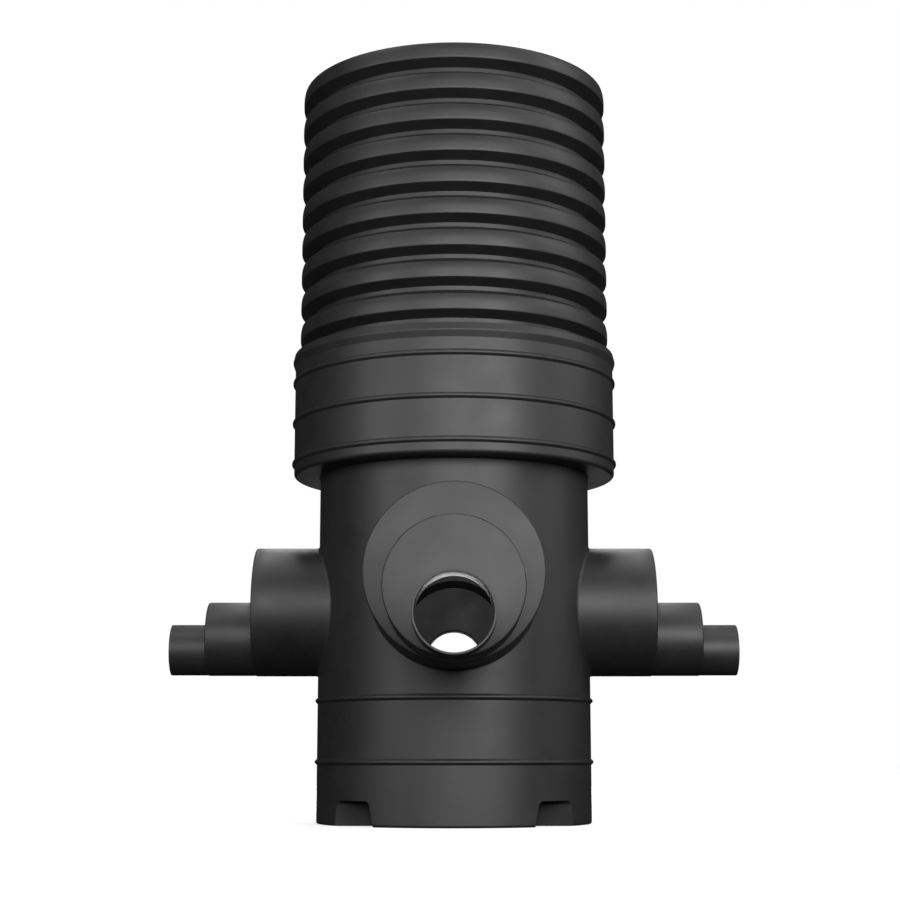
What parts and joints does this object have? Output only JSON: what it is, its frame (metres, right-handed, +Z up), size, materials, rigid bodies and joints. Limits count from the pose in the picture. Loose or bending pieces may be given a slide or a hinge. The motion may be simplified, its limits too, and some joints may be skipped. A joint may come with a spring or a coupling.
{
  "type": "catchpit chamber",
  "caption": "Round black drainage catchpit with a silt sump on a cross-shaped foot, stepped side branches with level inverts, a beaded socket and a ribbed riser pipe.",
  "frame": {"origin": "middle of the underside of the foot, at ground level", "axes": "+Z up along the sump and riser pipe; +X and -X along the side branches; -Y along the front main branch, +Y along the back one"},
  "size_m": [1.234, 1.54, 1.6359],
  "materials": {
    "base_polyethylene": "black polyethylene, moulded, dull satin",
    "riser_polyethylene": "black polyethylene, extruded and corrugated, dull satin",
    "seal_rubber": "black moulded rubber"
  },
  "bodies": {
    "root": {"chamber_base": "base_polyethylene", "riser_pipe": "riser_polyethylene", "riser_seal": "seal_rubber"}
  },
  "joints": []
}
